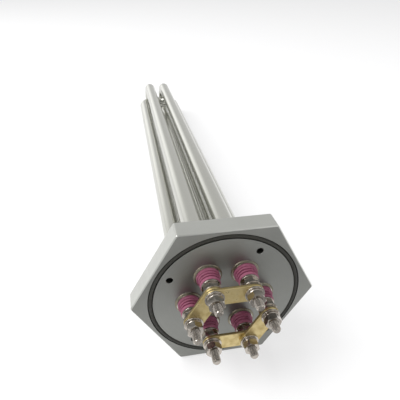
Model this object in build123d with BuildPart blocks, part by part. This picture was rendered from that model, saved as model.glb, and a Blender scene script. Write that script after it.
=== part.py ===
from build123d import *
import math
import os

os.makedirs("parts", exist_ok=True)

# Screw-in immersion heater: a hexagonal plug that carries three hairpin tubular elements.
# Sizes are in millimetres. The origin is the centre of the plug's sealing face, on the axis.
# +Y runs along the tubes into the tank, -Y points to the terminals and +Z is up.

# Head of the plug
head_across_flats = 80.0
head_thickness = 11.0
head_corner_radius = 0.8
head_edge_chamfer = 0.5

# Threaded spigot behind the head, at the crest diameter of a two inch pipe thread
spigot_diameter = 59.6
spigot_length = 14.0
spigot_chamfer = 1.5
relief_width = 2.5
relief_depth = 1.6
relief_corner = 0.8

# Shallow recess in the sealing face round the spigot, so that a flat gasket clears the thread
face_recess_margin = 0.9
face_recess_depth = 0.4

# Seal ring in the front face, for a terminal cover
groove_width = 2.5
groove_depth = 2.0
groove_land = 2.0
seal_cord_diameter = 2.2

# Tapped holes for the cover's screws
cover_hole_count = 4
cover_hole_start_angle = 60.0
cover_hole_radius = 1.65
cover_hole_inset = 4.5
cover_hole_floor = 3.0
cover_hole_countersink = 0.35

# Elements, seen along the axis as six legs on one circle
leg_count = 6
leg_circle_diameter = 36.0
first_leg_angle = 120.0
tube_diameter = 12.0
tube_wall = 1.0
tube_fit = 0.04
tube_stand_out = 1.0
tall_immersion = 380.0
cross_immersion = 360.0

# Weld bead round each leg
bead_width = 1.2
bead_height = 0.9
bead_slope = 0.8

# Inside of an element
cold_length = 60.0
stud_diameter = 4.0
fill_fit = 0.04

# Ceramic bush in each tube mouth
bush_fit = 0.1
bush_plug_depth = 8.0
bush_collar_diameter = 11.4
bush_collar_height = 1.4
bush_diameter = 9.8
bush_height = 6.0
bush_groove_depth = 0.5
bush_groove_width = 0.7
bush_rib_width = 0.85
bush_edge = 0.5

# Fasteners on the studs
thread_fit = 0.04
stud_tail = 4.4
stud_point = 0.7
nut_across_flats = 7.0
nut_height = 3.2
nut_crown = 0.35
washer_diameter = 9.0
washer_bore = 4.3
washer_thickness = 0.8
spring_washer_diameter = 7.4
spring_washer_thickness = 1.0
spring_washer_gap = 0.7

# How far each nut is turned, leg 1 to leg 6, in degrees
base_nut_turns = (12.0, 41.0, 25.0, 3.0, 50.0, 33.0)
top_nut_turns = (20.0, 5.0, 47.0, 14.0, 38.0, 30.0)

# Brass links between neighbouring studs
link_width = 9.0
link_thickness = 1.5
link_bore = 4.4
link_edge = 0.25
spacer_diameter = 8.0

# Radii and places that follow from the sizes above
head_radius = head_across_flats / 2
groove_outer_radius = head_radius - groove_land
groove_inner_radius = groove_outer_radius - groove_width
seal_circle_radius = (groove_outer_radius + groove_inner_radius) / 2
cover_hole_circle_radius = groove_inner_radius - cover_hole_inset
leg_circle_radius = leg_circle_diameter / 2
tube_radius = tube_diameter / 2
tube_bore_radius = tube_radius - tube_wall
spigot_radius = spigot_diameter / 2
relief_radius = spigot_radius - relief_depth
stud_radius = stud_diameter / 2
nut_flat_radius = nut_across_flats / 2
nut_corner_radius = nut_across_flats / math.sqrt(3)
bush_radius = bush_diameter / 2
bush_waist_radius = bush_radius - bush_groove_depth
mouth_y = -head_thickness - tube_stand_out
fill_y = mouth_y + bush_plug_depth

# Heights of the bush's grooves and of the stack on a stud, measured forward from the tube mouth
first_groove_at = bush_collar_height + bush_rib_width
second_groove_at = first_groove_at + bush_groove_width + bush_rib_width
base_washer_at = bush_height
base_nut_at = base_washer_at + washer_thickness
link_washer_at = base_nut_at + nut_height
lower_link_at = link_washer_at + washer_thickness
upper_link_at = lower_link_at + link_thickness
upper_washer_at = upper_link_at + link_thickness
stack_above_links = washer_thickness + spring_washer_thickness + nut_height
stud_tip_at = upper_washer_at + stack_above_links + stud_tail

head_plane = Plane.XZ.offset(head_thickness)
mouth_plane = Plane.XZ.offset(-mouth_y)


def leg_place(number):
    """Centre of a leg in the head's plane, as x and z. Legs are numbered 1 to 6, clockwise from the front."""
    angle = math.radians(first_leg_angle - (number - 1) * 360.0 / leg_count)
    return leg_circle_radius * math.cos(angle), leg_circle_radius * math.sin(angle)


def at_leg(number, height, turn=0.0):
    """Location on a leg's axis, at a height in front of the tube mouth, turned about that axis."""
    x, z = leg_place(number)
    return Location((x, mouth_y - height, z), (0, turn, 0))


def leg_axis(number):
    x, z = leg_place(number)
    return Axis((x, 0, z), (0, 1, 0))


all_legs = range(1, leg_count + 1)
top_left, top_right, right, bottom_right, bottom_left, left = all_legs

# Each link with its two legs and its level. Two legs carry two links each.
links = (
    (top_left, top_right, upper_link_at),
    (top_left, left, lower_link_at),
    (right, bottom_right, upper_link_at),
    (bottom_right, bottom_left, lower_link_at),
)


def levels_at(number):
    """Heights of the links that a leg carries."""
    return [level for first, second, level in links if number in (first, second)]


def link_top(number):
    """Height of the outer face of the front link on a leg."""
    return max(levels_at(number)) + link_thickness


# Plug: hexagonal head, spigot, seal groove, weld beads and every hole
with BuildPart() as hex_plug:
    with BuildSketch(head_plane):
        RegularPolygon(head_radius, 6, major_radius=False)
    extrude(amount=-head_thickness)
    fillet(hex_plug.edges().filter_by(Axis.Y), head_corner_radius)
    head_rims = hex_plug.edges().group_by(Axis.Y)
    chamfer(head_rims[0] + head_rims[-1], head_edge_chamfer)
    with BuildSketch(Plane.XY):
        with BuildLine():
            Polyline(
                (0, -relief_width),
                (relief_radius, -relief_width),
                (relief_radius, relief_width - relief_corner),
                (spigot_radius, relief_width + relief_depth - relief_corner),
                (spigot_radius, spigot_length - spigot_chamfer),
                (spigot_radius - spigot_chamfer, spigot_length),
                (0, spigot_length),
                close=True,
            )
        make_face()
    revolve(axis=Axis.Y)
    with BuildSketch(Plane.XZ):
        Circle(spigot_radius + face_recess_margin)
        Circle(relief_radius, mode=Mode.SUBTRACT)
    extrude(amount=face_recess_depth, mode=Mode.SUBTRACT)
    with BuildSketch(head_plane):
        Circle(groove_outer_radius)
        Circle(groove_inner_radius, mode=Mode.SUBTRACT)
    extrude(amount=-groove_depth, mode=Mode.SUBTRACT)
    with BuildSketch(head_plane):
        with PolarLocations(leg_circle_radius, leg_count):
            Circle(tube_radius + bead_width)
    extrude(amount=bead_height)
    chamfer(hex_plug.edges().group_by(Axis.Y)[0], bead_slope)
    with Locations(mouth_plane):
        with PolarLocations(leg_circle_radius, leg_count):
            Hole(tube_radius + tube_fit)
    with Locations(head_plane):
        with PolarLocations(cover_hole_circle_radius, cover_hole_count, cover_hole_start_angle):
            CounterSinkHole(
                cover_hole_radius,
                cover_hole_radius + cover_hole_countersink,
                head_thickness - cover_hole_floor,
            )
hex_plug.part.label = "hex_plug"
export_step(hex_plug.part, "parts/hex_plug.step")

# Rubber ring that rests on the groove's floor and stands a little proud of the face
with BuildPart() as cover_seal_ring:
    with BuildSketch(Plane.XY):
        with Locations((seal_circle_radius, -head_thickness + groove_depth - seal_cord_diameter / 2)):
            Circle(seal_cord_diameter / 2)
    revolve(axis=Axis.Y)
cover_seal_ring.part.label = "cover_seal_ring"
export_step(cover_seal_ring.part, "parts/cover_seal_ring.step")

# Hairpins: name, legs that the hairpin joins, and how far it reaches past the sealing face
hairpins = (
    ("left", (top_left, bottom_left), tall_immersion),
    ("right", (top_right, bottom_right), tall_immersion),
    ("cross", (right, left), cross_immersion),
)


def hairpin_plane(legs):
    """Plane of a hairpin: local x along the tubes and local y across, from leg to leg."""
    (x_a, z_a), (x_b, z_b) = leg_place(legs[0]), leg_place(legs[1])
    across = Vector(x_a - x_b, 0, z_a - z_b).normalized()
    middle = ((x_a + x_b) / 2, 0, (z_a + z_b) / 2)
    return Plane(origin=middle, x_dir=(0, 1, 0), z_dir=Vector(0, 1, 0).cross(across))


def half_span(legs):
    (x_a, z_a), (x_b, z_b) = leg_place(legs[0]), leg_place(legs[1])
    return math.hypot(x_a - x_b, z_a - z_b) / 2


for name, legs, immersion in hairpins:
    span = half_span(legs)
    bend_y = immersion - tube_radius - span
    plane = hairpin_plane(legs)

    # Drawn stainless sheath, bent to a U
    with BuildPart() as sheath:
        with BuildLine(plane) as sheath_line:
            Line((mouth_y, span), (bend_y, span))
            ThreePointArc((bend_y, span), (bend_y + span, 0), (bend_y, -span))
            Line((bend_y, -span), (mouth_y, -span))
        with BuildSketch(sheath_line.line ^ 0):
            Circle(tube_radius)
            Circle(tube_bore_radius, mode=Mode.SUBTRACT)
        sweep(path=sheath_line.line)
    sheath.part.label = f"sheath_{name}"
    export_step(sheath.part, f"parts/sheath_{name}.step")

    # Compacted magnesia between the sheath and the conductor
    with BuildPart() as fill:
        with BuildLine(plane) as fill_line:
            Line((fill_y, span), (bend_y, span))
            ThreePointArc((bend_y, span), (bend_y + span, 0), (bend_y, -span))
            Line((bend_y, -span), (fill_y, -span))
        with BuildSketch(fill_line.line ^ 0):
            Circle(tube_bore_radius - fill_fit)
            Circle(stud_radius + fill_fit, mode=Mode.SUBTRACT)
        sweep(path=fill_line.line)
    fill.part.label = f"magnesia_fill_{name}"
    export_step(fill.part, f"parts/magnesia_fill_{name}.step")

    # Wound resistance wire, as one bar of the winding's outer diameter
    with BuildPart() as coil:
        with BuildLine(plane) as coil_line:
            Line((cold_length, span), (bend_y, span))
            ThreePointArc((bend_y, span), (bend_y + span, 0), (bend_y, -span))
            Line((bend_y, -span), (cold_length, -span))
        with BuildSketch(coil_line.line ^ 0):
            Circle(stud_radius)
        sweep(path=coil_line.line)
    coil.part.label = f"resistance_coil_{name}"
    export_step(coil.part, f"parts/resistance_coil_{name}.step")

for number in all_legs:
    x, z = leg_place(number)

    # Steel pin from the cold end of the coil to the threaded tip
    with BuildPart() as stud:
        with BuildSketch(Plane.XZ.offset(-cold_length)):
            with Locations((x, z)):
                Circle(stud_radius)
        extrude(amount=cold_length - mouth_y + stud_tip_at)
        chamfer(stud.edges().group_by(Axis.Y)[0], stud_point)
    stud.part.label = f"terminal_stud_{number}"
    export_step(stud.part, f"parts/terminal_stud_{number}.step")

    # Ribbed bush: a plug in the tube's bore, a collar on its mouth and ribs in front
    with BuildPart() as bush:
        with BuildSketch(Plane(origin=(x, mouth_y, z), x_dir=(1, 0, 0), z_dir=(0, 0, -1))):
            with BuildLine():
                Polyline(
                    (stud_radius + thread_fit, -bush_plug_depth),
                    (tube_bore_radius - bush_fit, -bush_plug_depth),
                    (tube_bore_radius - bush_fit, 0),
                    (bush_collar_diameter / 2, 0),
                    (bush_collar_diameter / 2, bush_collar_height),
                    (bush_radius, bush_collar_height),
                    (bush_radius, first_groove_at),
                    (bush_waist_radius, first_groove_at),
                    (bush_waist_radius, first_groove_at + bush_groove_width),
                    (bush_radius, first_groove_at + bush_groove_width),
                    (bush_radius, second_groove_at),
                    (bush_waist_radius, second_groove_at),
                    (bush_waist_radius, second_groove_at + bush_groove_width),
                    (bush_radius, second_groove_at + bush_groove_width),
                    (bush_radius, bush_height - bush_edge),
                    (bush_radius - bush_edge, bush_height),
                    (stud_radius + thread_fit, bush_height),
                    close=True,
                )
            make_face()
        revolve(axis=leg_axis(number))
    bush.part.label = f"ceramic_bush_{number}"
    export_step(bush.part, f"parts/ceramic_bush_{number}.step")

# One nut, standing on the origin: a hexagon turned down at both faces, with a plain bore
with BuildPart() as nut:
    with BuildSketch(Plane.XZ):
        RegularPolygon(nut_flat_radius, 6, major_radius=False)
    extrude(amount=nut_height)
    with BuildSketch(Plane.XY):
        with BuildLine():
            Polyline(
                (0, 0),
                (nut_flat_radius, 0),
                (nut_corner_radius, -nut_crown),
                (nut_corner_radius, -nut_height + nut_crown),
                (nut_flat_radius, -nut_height),
                (0, -nut_height),
                close=True,
            )
        make_face()
    revolve(axis=Axis.Y, mode=Mode.INTERSECT)
    with BuildSketch(Plane.XZ):
        Circle(stud_radius + thread_fit)
    extrude(amount=nut_height, mode=Mode.SUBTRACT)

# One plain washer and one spring washer, standing on the origin
with BuildPart() as washer:
    with BuildSketch(Plane.XZ):
        Circle(washer_diameter / 2)
        Circle(washer_bore / 2, mode=Mode.SUBTRACT)
    extrude(amount=washer_thickness)

with BuildPart() as spring_washer:
    with BuildSketch(Plane.XZ):
        Circle(spring_washer_diameter / 2)
        Circle(washer_bore / 2, mode=Mode.SUBTRACT)
        with Locations((spring_washer_diameter / 2, 0)):
            Rectangle(spring_washer_diameter, spring_washer_gap, mode=Mode.SUBTRACT)
    extrude(amount=spring_washer_thickness)

# Nuts and washers of one level, as one group of separate solids on the six studs
with BuildPart() as base_washers:
    with Locations([at_leg(number, base_washer_at) for number in all_legs]):
        add(washer.part)
base_washers.part.label = "base_washers"
export_step(base_washers.part, "parts/base_washers.step")

with BuildPart() as base_nuts:
    with Locations([at_leg(number, base_nut_at, base_nut_turns[number - 1]) for number in all_legs]):
        add(nut.part)
base_nuts.part.label = "base_nuts"
export_step(base_nuts.part, "parts/base_nuts.step")

with BuildPart() as link_washers:
    with Locations([at_leg(number, link_washer_at) for number in all_legs]):
        add(washer.part)
link_washers.part.label = "link_washers"
export_step(link_washers.part, "parts/link_washers.step")

with BuildPart() as upper_washers:
    with Locations([at_leg(number, link_top(number)) for number in all_legs]):
        add(washer.part)
upper_washers.part.label = "upper_washers"
export_step(upper_washers.part, "parts/upper_washers.step")

with BuildPart() as spring_washers:
    spring_washer_places = [
        at_leg(number, link_top(number) + washer_thickness, top_nut_turns[number - 1]) for number in all_legs
    ]
    with Locations(spring_washer_places):
        add(spring_washer.part)
spring_washers.part.label = "spring_washers"
export_step(spring_washers.part, "parts/spring_washers.step")

with BuildPart() as top_nuts:
    top_nut_places = [
        at_leg(number, link_top(number) + washer_thickness + spring_washer_thickness, top_nut_turns[number - 1])
        for number in all_legs
    ]
    with Locations(top_nut_places):
        add(nut.part)
top_nuts.part.label = "top_nuts"
export_step(top_nuts.part, "parts/top_nuts.step")

# Spacers as thick as a link, under the far ends of the two upper links
with BuildPart() as link_spacers:
    for number in [leg for leg in all_legs if levels_at(leg) == [upper_link_at]]:
        with BuildSketch(Plane.XZ.offset(-mouth_y + lower_link_at)):
            with Locations(leg_place(number)):
                Circle(spacer_diameter / 2)
                Circle(washer_bore / 2, mode=Mode.SUBTRACT)
        extrude(amount=link_thickness)
link_spacers.part.label = "link_spacers"
export_step(link_spacers.part, "parts/link_spacers.step")

# Flat brass links with round ends
for first, second, level in links:
    (x_a, z_a), (x_b, z_b) = leg_place(first), leg_place(second)
    link_pitch = math.hypot(x_b - x_a, z_b - z_a)
    link_angle = math.degrees(math.atan2(z_b - z_a, x_b - x_a))
    with BuildPart() as link:
        with BuildSketch(Plane.XZ.offset(-mouth_y + level)):
            with Locations(((x_a + x_b) / 2, (z_a + z_b) / 2)):
                SlotCenterToCenter(link_pitch, link_width, rotation=link_angle)
            with Locations((x_a, z_a), (x_b, z_b)):
                Circle(link_bore / 2, mode=Mode.SUBTRACT)
        extrude(amount=link_thickness)
        chamfer(link.faces().sort_by(Axis.Y)[0].outer_wire().edges(), link_edge)
    link.part.label = f"brass_link_{first}_{second}"
    export_step(link.part, f"parts/brass_link_{first}_{second}.step")
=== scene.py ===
"""Dresses the packed screw-in immersion heater: turned plug, welded elements, terminals and stage."""

import math

import bmesh
import bpy
from mathutils import Matrix, Vector


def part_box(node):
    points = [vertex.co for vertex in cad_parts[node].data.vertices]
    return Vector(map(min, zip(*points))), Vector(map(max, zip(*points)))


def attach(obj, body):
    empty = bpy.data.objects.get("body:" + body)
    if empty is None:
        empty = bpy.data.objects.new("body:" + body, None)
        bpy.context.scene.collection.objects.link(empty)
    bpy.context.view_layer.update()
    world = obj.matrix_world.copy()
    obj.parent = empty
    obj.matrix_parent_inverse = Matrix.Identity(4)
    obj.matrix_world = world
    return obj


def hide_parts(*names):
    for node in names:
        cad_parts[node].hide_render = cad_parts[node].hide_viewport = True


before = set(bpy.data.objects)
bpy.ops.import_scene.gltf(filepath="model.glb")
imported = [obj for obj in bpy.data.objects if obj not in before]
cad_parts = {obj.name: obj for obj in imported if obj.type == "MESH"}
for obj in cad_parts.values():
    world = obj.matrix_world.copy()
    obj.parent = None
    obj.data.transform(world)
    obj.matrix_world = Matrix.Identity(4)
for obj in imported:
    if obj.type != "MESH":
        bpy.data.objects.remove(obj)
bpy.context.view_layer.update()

bl_info = {
    "name": "Screw-in immersion heater",
    "version": (1, 0, 0),
    "blender": (4, 5, 0),
    "location": "3D View > Sidebar > Heater",
    "description": "Models and finishes the pieces of a screw-in immersion heater around its CAD frame",
    "category": "Object",
}

MM = 0.001

# Legs are numbered 1 to 6, clockwise from the front, and each carries one stud
LEGS = (1, 2, 3, 4, 5, 6)
LINKED_LEGS = ((1, 2), (1, 6), (3, 4), (4, 5))
SPACER_LEGS = (2, 3)
HAIRPIN_LEGS = {"left": (1, 5), "right": (2, 4), "cross": (3, 6)}

# How far each nut is turned, leg 1 to leg 6, in degrees, as in the frame
BASE_NUT_TURNS = (12.0, 41.0, 25.0, 3.0, 50.0, 33.0)
TOP_NUT_TURNS = (20.0, 5.0, 47.0, 14.0, 38.0, 30.0)

# How many degrees further each bead, bush and stud is turned than the last, so that no two look alike
BEAD_TURN = 57.0
BUSH_TURN = 31.0
STUD_TURN = 73.0

# Sides of the circles that the pieces and the tools are turned from
BEAD_SIDES = 240
GROOVE_SIDES = 192
HEAD_SIDES = 144
CROWN_SIDES = 96
FASTENER_SIDES = 72
TUBE_SIDES = 64
LINK_BORE_SIDES = 56
BORE_SIDES = 48
STUD_SIDES = 32

# Finish of the nuts, washers and spacers, and a slot name passed along with it
PLATED = ("nickel_plated_steel", "plated_steel")

# Places read from the frame: -Y is the terminal side and +Y runs into the tank
plug_low, plug_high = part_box("hex_plug")
TUBE_MOUTH_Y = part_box("sheath_left")[0].y
BUSH_FRONT_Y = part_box("ceramic_bush_1")[0].y
SPIGOT_END_Y = plug_high.y
STUD_LOW, STUD_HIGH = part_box("terminal_stud_1")


def leg_place(leg):
    """Centre of a leg in the head's plane, as x and z."""
    low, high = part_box(f"terminal_stud_{leg}")
    return (low.x + high.x) / 2, (low.z + high.z) / 2


def link_front(leg):
    """Y of the outer face of the front link on a leg."""
    names = [f"brass_link_{first}_{second}" for first, second in LINKED_LEGS if leg in (first, second)]
    return min(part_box(name)[0].y for name in names)


def number(name, default, description, low=0.0, **settings):
    """A number, shown in the sidebar."""
    return bpy.props.FloatProperty(name=name, description=description, default=default, min=low, **settings)


def length(name, default, description):
    """A length in metres, shown in the sidebar."""
    return number(name, default, description, precision=5, subtype="DISTANCE", unit="LENGTH")


def point(name, default, description):
    """A point of the frame, in metres."""
    return bpy.props.FloatVectorProperty(
        name=name, description=description, default=default, precision=5, subtype="TRANSLATION", unit="LENGTH"
    )


def colour(name, hex_value, description):
    """A colour given as sRGB hex and kept as linear RGB."""
    return bpy.props.FloatVectorProperty(
        name=name, description=description, default=linear(hex_value), size=3, min=0.0, max=1.0, subtype="COLOR"
    )


def linear(hex_value):
    """Turns an sRGB hex colour to linear RGB."""
    channels = [int(hex_value[place:place + 2], 16) / 255 for place in (0, 2, 4)]
    return tuple(c / 12.92 if c <= 0.04045 else ((c + 0.055) / 1.055) ** 2.4 for c in channels)


class PlugSizes(bpy.types.PropertyGroup):
    """Sizes of the hexagonal plug and its thread."""

    across_flats: length("Across flats", plug_high.z - plug_low.z, "Width of the head between opposite flats")
    head_thickness: length("Head thickness", 11.0 * MM, "Thickness of the head")
    corner_radius: length("Corner radius", 0.8 * MM, "Rounding of the hexagon's corners")
    edge_chamfer: length("Edge chamfer", 0.5 * MM, "Chamfer of the head's rims")
    edge_break: length("Edge break", 0.1 * MM, "Width of the broken sharp edges")
    groove_outer: length("Groove outer radius", 38.0 * MM, "Outer radius of the seal groove")
    groove_inner: length("Groove inner radius", 35.5 * MM, "Inner radius of the seal groove")
    groove_depth: length("Groove depth", 2.0 * MM, "Depth of the seal groove")
    hole_circle: length("Hole circle radius", 31.0 * MM, "Radius of the circle of the cover's screw holes")
    hole_radius: length("Hole radius", 1.65 * MM, "Core radius of the cover's screw holes")
    hole_depth: length("Hole depth", 8.0 * MM, "Depth of the cover's screw holes")
    hole_countersink: length("Hole countersink", 0.15 * MM, "Countersink of the cover's screw holes")
    spigot_radius: length("Spigot radius", 29.8 * MM, "Crest radius of the pipe thread")
    thread_pitch: length("Thread pitch", 2.309 * MM, "Pitch of the two inch pipe thread")
    thread_depth: length("Thread depth", 1.479 * MM, "Depth of the two inch pipe thread")
    relief_radius: length("Relief radius", 28.2 * MM, "Radius of the undercut behind the head")
    relief_width: length("Relief width", 1.9 * MM, "Width of the undercut behind the head")
    recess_radius: length("Recess radius", 30.7 * MM, "Outer radius of the recess in the sealing face")
    recess_depth: length("Recess depth", 0.4 * MM, "Depth of the recess in the sealing face")
    spigot_chamfer: length("Spigot chamfer", 1.5 * MM, "Chamfer of the spigot's end")
    tube_bore: length("Tube bore radius", 6.04 * MM, "Radius of the bores that the tubes pass through")


class ElementSizes(bpy.types.PropertyGroup):
    """Sizes of the sheathed elements and their welds."""

    tube_radius: length("Tube radius", 6.0 * MM, "Outer radius of the sheath")
    tube_wall: length("Tube wall", 1.0 * MM, "Wall of the sheath")
    bead_width: length("Bead width", 0.9 * MM, "Width of the weld bead on the face")
    bead_height: length("Bead height", 0.6 * MM, "Height of the weld bead on the face")
    ripple_pitch: length("Ripple pitch", 1.2 * MM, "Distance between the ripples of the weld")
    ripple_depth: length("Ripple depth", 0.1 * MM, "Depth of the ripples of the weld")


class TerminalSizes(bpy.types.PropertyGroup):
    """Sizes of the bushes, studs, fasteners and links."""

    stud_radius: length("Stud radius", (STUD_HIGH.x - STUD_LOW.x) / 2, "Crest radius of the stud's thread")
    stud_pitch: length("Stud pitch", 0.7 * MM, "Pitch of the stud's thread")
    stud_thread_depth: length("Stud thread depth", 0.43 * MM, "Depth of the stud's thread")
    stud_point: length("Stud point", 0.7 * MM, "Chamfer of the stud's tip")
    thread_fit: length("Thread fit", 0.04 * MM, "Gap between stud and nut")
    plug_radius: length("Bush plug radius", 4.9 * MM, "Radius of the bush inside the tube")
    plug_depth: length("Bush plug depth", 8.0 * MM, "Depth of the bush inside the tube")
    collar_radius: length("Collar radius", 5.7 * MM, "Radius of the bush's collar")
    collar_height: length("Collar height", 1.4 * MM, "Height of the bush's collar")
    bush_radius: length("Bush radius", 4.9 * MM, "Radius of the bush's ribs")
    groove_depth: length("Rib groove depth", 0.9 * MM, "Depth of the grooves between the ribs")
    groove_width: length("Rib groove width", 0.85 * MM, "Width of the grooves between the ribs")
    rib_width: length("Rib width", 0.8 * MM, "Width of a rib")
    bush_edge: length("Bush edge", 0.5 * MM, "Chamfer of the bush's front edge")
    bush_rounding: length("Bush rounding", 0.16 * MM, "Rounding of the fired ceramic's edges")
    nut_flats: length("Nut across flats", 7.0 * MM, "Width of the nuts across flats")
    nut_height: length("Nut height", 3.2 * MM, "Height of the nuts")
    nut_crown: length("Nut crown", 0.35 * MM, "Height of the turned crown at a nut's corners")
    nut_countersink: length("Nut countersink", 0.3 * MM, "Countersink of a nut's bore")
    nut_break: length("Nut edge break", 0.07 * MM, "Rounding of a nut's edges")
    washer_radius: length("Washer radius", 4.5 * MM, "Outer radius of the plain washers")
    washer_bore: length("Washer bore radius", 2.15 * MM, "Bore radius of the washers")
    washer_thickness: length("Washer thickness", 0.8 * MM, "Thickness of the plain washers")
    washer_break: length("Washer edge break", 0.12 * MM, "Rounding of a stamped washer's edges")
    spring_radius: length("Spring washer radius", 3.7 * MM, "Outer radius of the spring washers")
    spring_thickness: length("Spring washer thickness", 1.0 * MM, "Thickness of the flattened spring washers")
    spring_gap: length("Spring washer gap", 0.7 * MM, "Gap between a spring washer's ends")
    spring_lift: length("Spring washer lift", 0.12 * MM, "Step left between a flattened washer's ends")
    spacer_radius: length("Spacer radius", 4.0 * MM, "Outer radius of the link spacers")
    link_width: length("Link width", 9.0 * MM, "Width of the brass links")
    link_thickness: length("Link thickness", 1.5 * MM, "Thickness of the brass links")
    link_bore: length("Link bore radius", 2.2 * MM, "Radius of the holes in the links")
    link_edge: length("Link edge", 0.22 * MM, "Rounding of the sheared edges of a link")


class FinishColours(bpy.types.PropertyGroup):
    """Colours of the finishes."""

    # The faced colour is a finish of its own, and is also set darker than the flats' as painted shade on the front
    # face
    faced: colour("Faced stainless", "8D8E8A", "Turned face of the head")
    flats: colour("Drawn stainless", "C2C3BE", "Flats and chamfers of the head")
    thread: colour("Cut thread", "BDBDB6", "Threaded spigot")
    weld: colour("Weld", "62615D", "Weld beads")
    weld_straw: colour("Weld straw", "A39A84", "Heat-tinted spots of the weld beads")
    tube: colour("Tube", "C5C5BE", "Sheaths of the elements")
    nickel: colour("Nickel plate", "C6BFB6", "Nuts and washers")
    stud: colour("Plated thread", "B5AEA5", "Threads of the studs")
    brass: colour("Brass", "D0BE8C", "Links between the studs")
    brass_dull: colour("Dull brass", "BAA570", "Tarnished patches of the links")
    ceramic: colour("Ceramic", "924D67", "Bushes in the tube mouths")
    ceramic_pale: colour("Pale ceramic", "A06479", "Paler speckle of the bushes")
    rubber: colour("Rubber", "26261F", "Seal ring")
    magnesia: colour("Magnesia", "E6E2D8", "Powder inside the elements")
    wire: colour("Heating wire", "6E6A66", "Winding inside the elements")
    floor: colour("Floor", "FBFBFC", "Floor under the object")


class StageSizes(bpy.types.PropertyGroup):
    """Places and levels of the camera, the floor, the lamps and the sky."""

    camera_place: point("Camera place", (-37.578 * MM, -139.241 * MM, 131.415 * MM), "Where the camera stands")
    camera_aim: point("Camera aim", (-12.286 * MM, 0.0, 44.698 * MM), "Point that the camera's axis goes through")
    camera_roll: number(
        "Camera roll", math.radians(0.062), "Turn about the axis", -math.pi, subtype="ANGLE", unit="ROTATION"
    )
    focal_pixels: number("Focal length in pixels", 369.4, "Focal length, in pixels of the photo's frame", 1.0)
    photo_pixels: number("Frame size", 400.0, "Width and height of the photo, in pixels", 1.0)
    axis_pixel: bpy.props.FloatVectorProperty(
        name="Axis pixel",
        description="Pixel of the photo that the camera's axis goes through, from the top left",
        default=(196.6, 211.4),
        size=2,
    )
    floor_size: length("Floor size", 12.0, "Width of the floor")
    floor_white: number("Floor white", 0.55, "Share of its own white that the floor shows", max=1.0)
    # The cloth is painted shade: a dark band on the floor that only the metal's reflections show
    reflection_shade_start: length("Reflection shade start", 58.0 * MM, "How far in front of the sealing face the painted reflection shade starts")
    reflection_shade_end: length("Reflection shade end", 128.0 * MM, "How far in front of the sealing face the painted reflection shade ends")
    reflection_shade_fade: length("Reflection shade fade", 20.0 * MM, "Width of the painted reflection shade's soft edges")
    reflection_shade_darkness: number("Reflection shade darkness", 0.75, "Share of light that the painted reflection shade takes", max=1.0)
    key_place: point("Key lamp place", (-1.1, 0.1, 1.2), "Where the key lamp hangs")
    key_size: length("Key lamp size", 1.1, "Width of the key lamp")
    key_level: number("Key level", 28.0, "Power of the key lamp", unit="POWER")
    fill_place: point("Fill lamp place", (0.9, -0.5, 1.1), "Where the fill lamp hangs")
    fill_size: length("Fill lamp size", 1.2, "Width of the fill lamp")
    fill_level: number("Fill level", 4.0, "Power of the fill lamp", unit="POWER")
    sky_level: number("Sky level", 0.73, "Strength of the sky behind the head")
    sky_full: number("Sky full", 0.3, "Y of the directions from which the sky has its own level", -1.0)
    front_level: number("Front level", 0.35, "Strength of the sky in front of the terminals")
    front_full: number("Front full", -0.7, "Y of the directions up to which the sky has its front level", -1.0)
    panel_level: number("Panel level", 0.8, "Extra strength of the bright panel")
    panel_full: number("Panel full", 0.995, "Cosine of the angle within which the panel is full", max=1.0)
    panel_edge: number("Panel edge", 0.945, "Cosine of the angle at which the panel ends", max=1.0)
    panel_direction: bpy.props.FloatVectorProperty(
        name="Panel direction",
        description="Where the bright panel stands",
        default=(-0.33, 0.94, 0.12),
        subtype="DIRECTION",
    )


# Materials

# Most of a noise pattern lies between these values
NOISE_SPAN = (0.3, 0.7)

# A Mix node's sockets for two colours and their mix, which share their names with those for numbers
MIX_FIRST, MIX_SECOND, MIX_RESULT = 6, 7, 2


def add_node(tree, kind, inputs=(), out=0, **settings):
    """Adds one node and gives one of its outputs.

    Inputs are values, or sockets to link from, by name in a dictionary or else in the node's own order.
    Settings are the node's own properties.
    """
    node = tree.nodes.new(kind)
    for name, value in settings.items():
        setattr(node, name, value)
    for name, value in inputs.items() if isinstance(inputs, dict) else enumerate(inputs):
        if isinstance(value, bpy.types.NodeSocket):
            tree.links.new(value, node.inputs[name])
        else:
            node.inputs[name].default_value = value
    return node.outputs[out]


def new_material(name, base, metallic, **even):
    """The tree and the shader of a new node material. Values that are even all over are set on the shader."""
    material = bpy.data.materials.new(name)
    material.use_nodes = True
    material.diffuse_color = (*base, 1.0)
    material.metallic = metallic
    shader = material.node_tree.nodes["Principled BSDF"]
    shader.inputs["Base Color"].default_value = (*base, 1.0)
    shader.inputs["Metallic"].default_value = metallic
    for socket, value in even.items():
        shader.inputs[socket.replace("_", " ")].default_value = value
    return material.node_tree, shader


def grain(tree, size_mm, stretch=(1.0, 1.0, 1.0), detail=3.0, rough=0.55, place=None):
    """A pattern whose features are size_mm across, drawn out by stretch, on the object's own coordinates."""
    if place is None:
        place = add_node(tree, "ShaderNodeTexCoord", out="Object")
    per_metre = 1 / (size_mm * MM)
    scale = tuple(per_metre / along for along in stretch)
    spread = add_node(tree, "ShaderNodeMapping", {"Vector": place, "Scale": scale})
    inputs = {"Vector": spread, "Scale": 1.0, "Detail": detail, "Roughness": rough}
    return add_node(tree, "ShaderNodeTexNoise", inputs)


def shaded(value, factor):
    """A colour made darker or lighter."""
    return tuple(min(1.0, channel * factor) for channel in value)


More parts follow.
